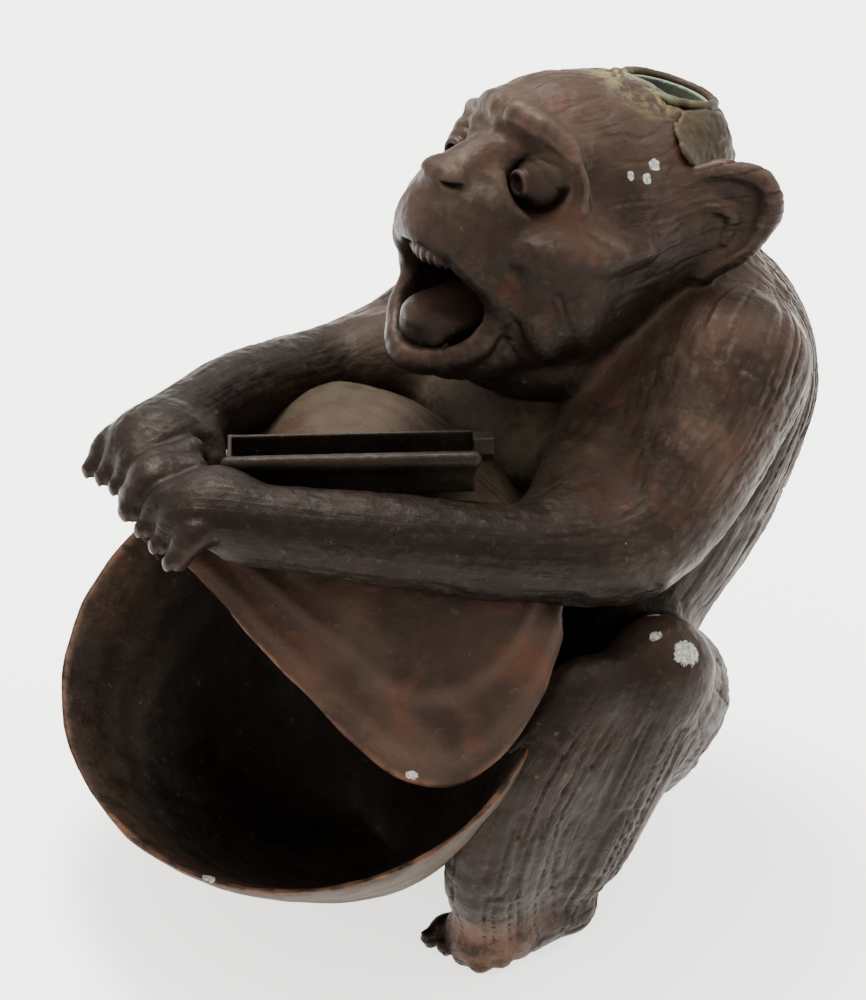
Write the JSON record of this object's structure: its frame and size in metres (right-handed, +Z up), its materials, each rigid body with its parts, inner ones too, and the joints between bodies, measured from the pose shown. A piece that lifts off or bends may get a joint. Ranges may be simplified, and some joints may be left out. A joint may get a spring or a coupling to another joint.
{
  "type": "monkey and clam shell smoker's stand",
  "caption": "Cast metal monkey crouched over an open clam shell: ash bowl below, matchbox channel on the upper valve and candle socket on the crown.",
  "frame": {"origin": "centre of the bounding box's footprint, on the table under the figure", "axes": "+Z up, -Y where the monkey faces and the bowl lies, +X the monkey's left, where the matchbox channel is"},
  "size_m": [0.1634, 0.1976, 0.2065],
  "materials": {
    "patina": "dark brown bronze-like patina over white metal, rubbed and dusty, with pale grey chips",
    "shell_brown": "dark brown patina, worn to copper brown along the rims, olive in the hollows",
    "sheet_brown": "smooth dark brown patina on folded sheet, worn paler on its edges",
    "socket_brown": "tarnished brass and solder with yellowish and green deposits",
    "socket_green": "tarnished brass tube with green verdigris inside"
  },
  "bodies": {
    "root": {"lower_shell": "shell_brown", "upper_shell": "shell_brown", "torso_casting": "patina", "left_arm": "patina", "right_arm": "patina", "left_leg": "patina", "right_leg": "patina", "head_casting": "patina", "tongue": "patina", "left_eye": "patina", "right_eye": "patina", "left_ear": "patina", "right_ear": "patina", "crown_collar": "socket_brown", "crown_patch": "socket_brown", "socket_cup": "socket_green", "socket_rim": "socket_brown", "rim_solder_bead": "socket_brown", "matchbox_channel": "sheet_brown", "channel_end_tab": "sheet_brown"}
  },
  "joints": []
}
